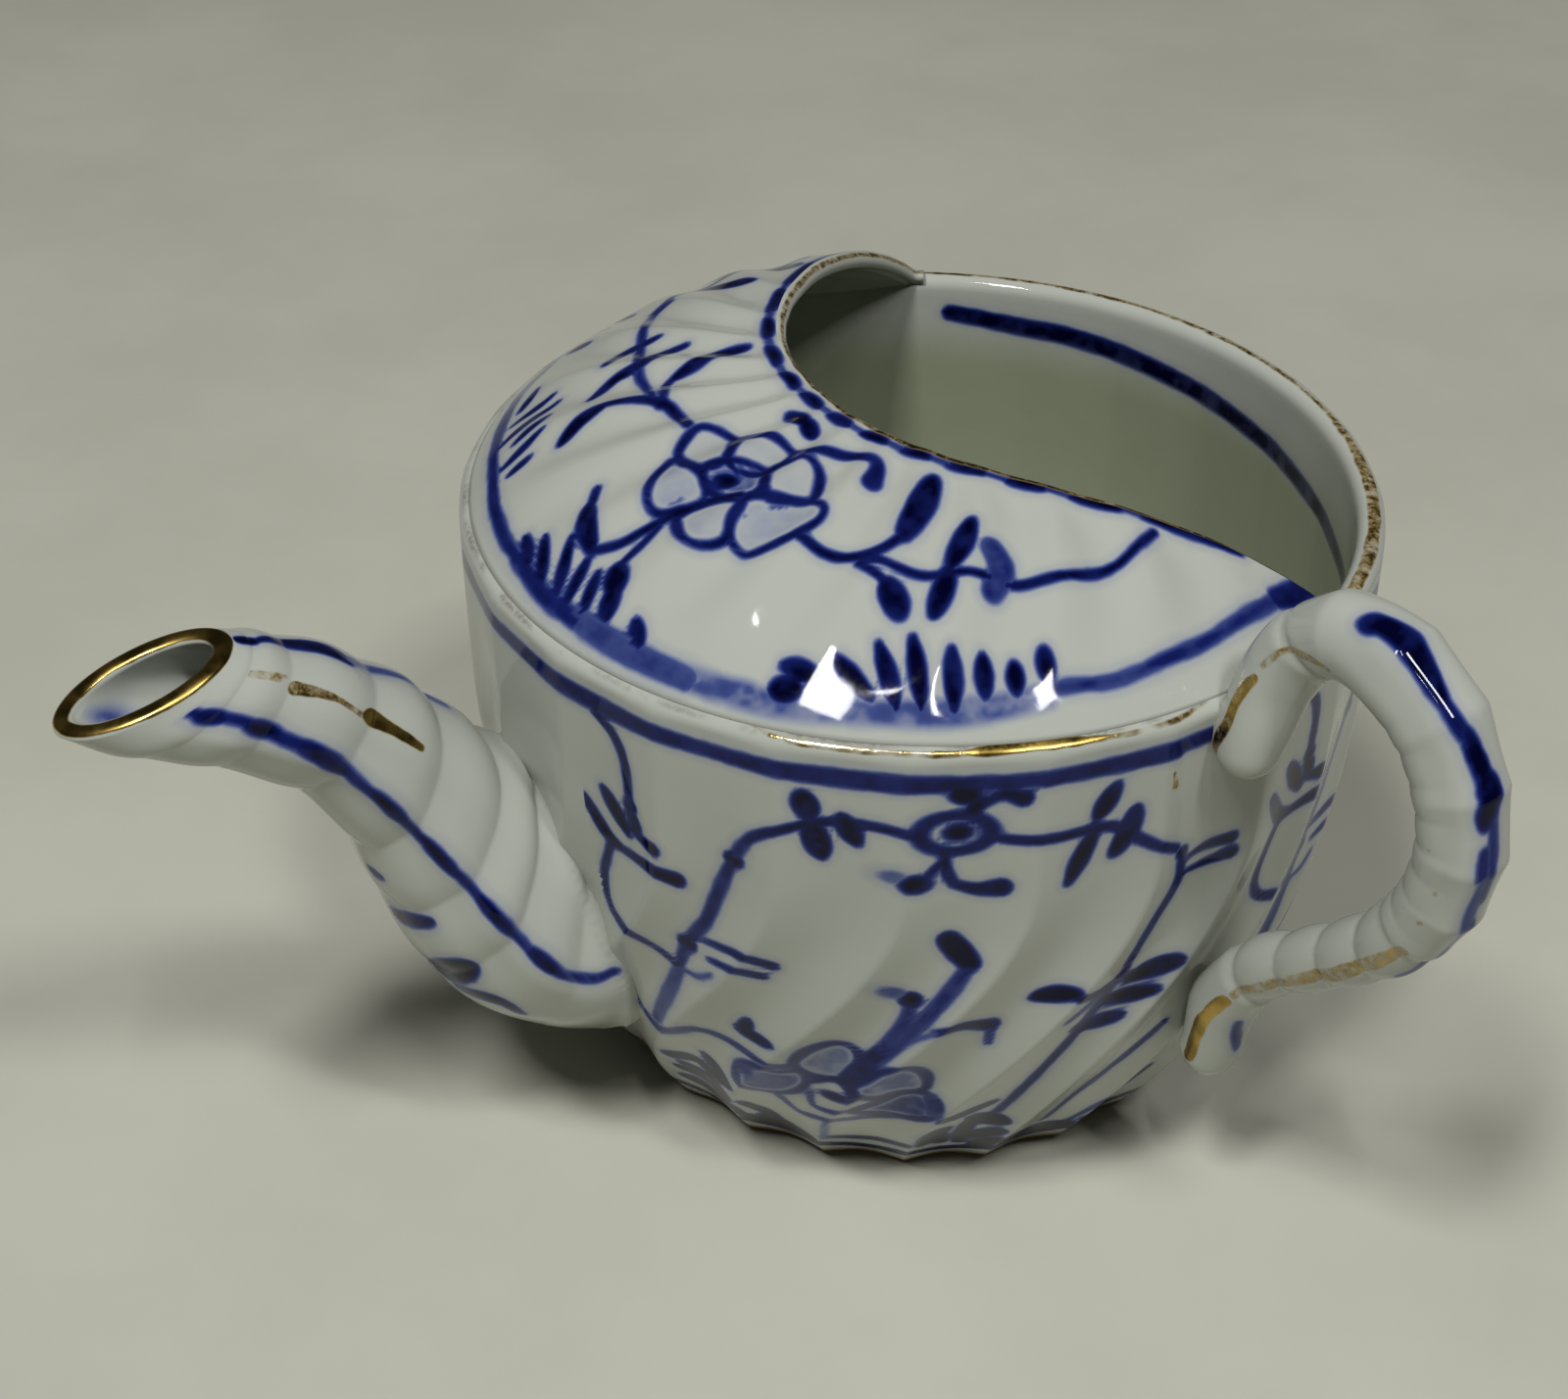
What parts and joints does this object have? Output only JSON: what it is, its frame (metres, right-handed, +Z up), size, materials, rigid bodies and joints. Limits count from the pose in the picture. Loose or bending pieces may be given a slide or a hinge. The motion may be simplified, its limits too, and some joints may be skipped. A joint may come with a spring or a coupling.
{
  "type": "half-covered feeder cup",
  "caption": "Half-covered porcelain feeder cup with a swirl-fluted bowl, domed half cover, ribbed drinking spout, side handle and gilded lips.",
  "frame": {"origin": "centre of the foot ring, on the table", "axes": "+Z up along the bowl's axis, the spout points along -X, the opening is on the +X side, the handle stands out towards -Y"},
  "size_m": [0.1221, 0.1074, 0.0717],
  "materials": {
    "porcelain": "clear gloss glaze over white porcelain with cobalt-blue underglaze painting",
    "gilding": "worn fired gold"
  },
  "bodies": {
    "root": {"bowl": "porcelain", "half_cover": "porcelain", "spout": "porcelain", "handle": "porcelain", "rim_gilding": "gilding", "cover_edge_gilding": "gilding", "spout_lip_gilding": "gilding"}
  },
  "joints": []
}
